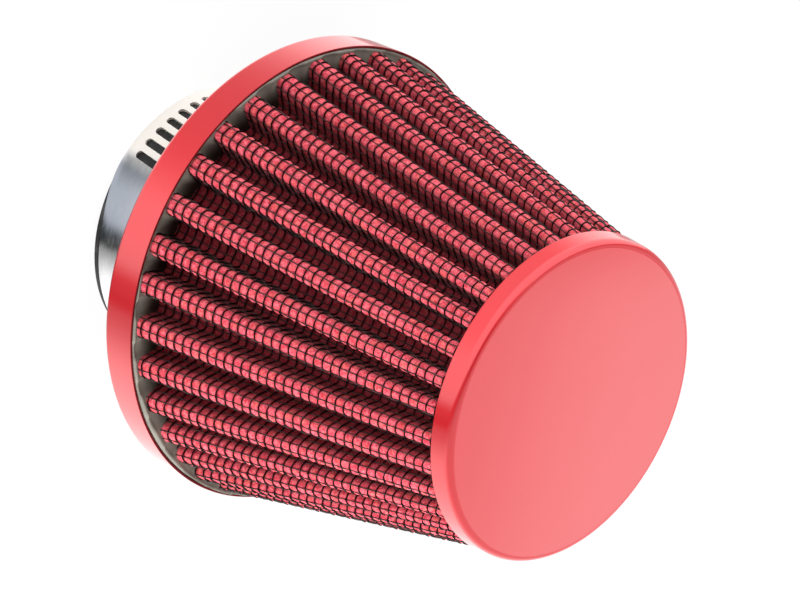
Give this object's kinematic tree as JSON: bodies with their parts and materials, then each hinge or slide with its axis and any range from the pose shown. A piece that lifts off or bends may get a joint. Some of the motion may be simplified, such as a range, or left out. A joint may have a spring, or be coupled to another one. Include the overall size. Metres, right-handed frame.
{
  "type": "cone air filter",
  "caption": "Clamp-on cone air filter: pleated cotton between wire mesh, red aluminium ring and end cap, black rubber neck with a worm drive clamp.",
  "frame": {"origin": "centre of the neck's open end", "axes": "+Z along the cone's axis from the neck to the end cap, +X towards the clamp's screw housing, the screw parallel to Y with its head at -Y"},
  "size_m": [0.095, 0.095, 0.1065],
  "materials": {
    "red_anodised": "satin red anodised",
    "neck_rubber": "moulded, satin",
    "potting": "cast compound, slightly glossy",
    "cotton": "oiled red cotton gauze",
    "mesh_wire": "black coated wire",
    "clamp_steel": "polished stainless"
  },
  "bodies": {
    "filter": {"base_ring": "red_anodised", "rubber_neck": "neck_rubber", "base_potting": "potting", "cotton_media": "cotton", "outer_mesh": "mesh_wire", "inner_mesh": "mesh_wire", "cap_potting": "potting", "end_cap": "red_anodised", "clamp_band": "clamp_steel", "clamp_saddle": "clamp_steel", "clamp_housing": "clamp_steel"},
    "screw": {"clamp_screw": "clamp_steel"}
  },
  "joints": [
    {"name": "screw_turn", "type": "hinge", "parent": "filter", "child": "screw", "pos_m": [0.0332, 0, 0.0078], "axis": [0, 1, 0], "range_deg": [-2160, 720], "deforming": ["clamp_band"]}
  ]
}
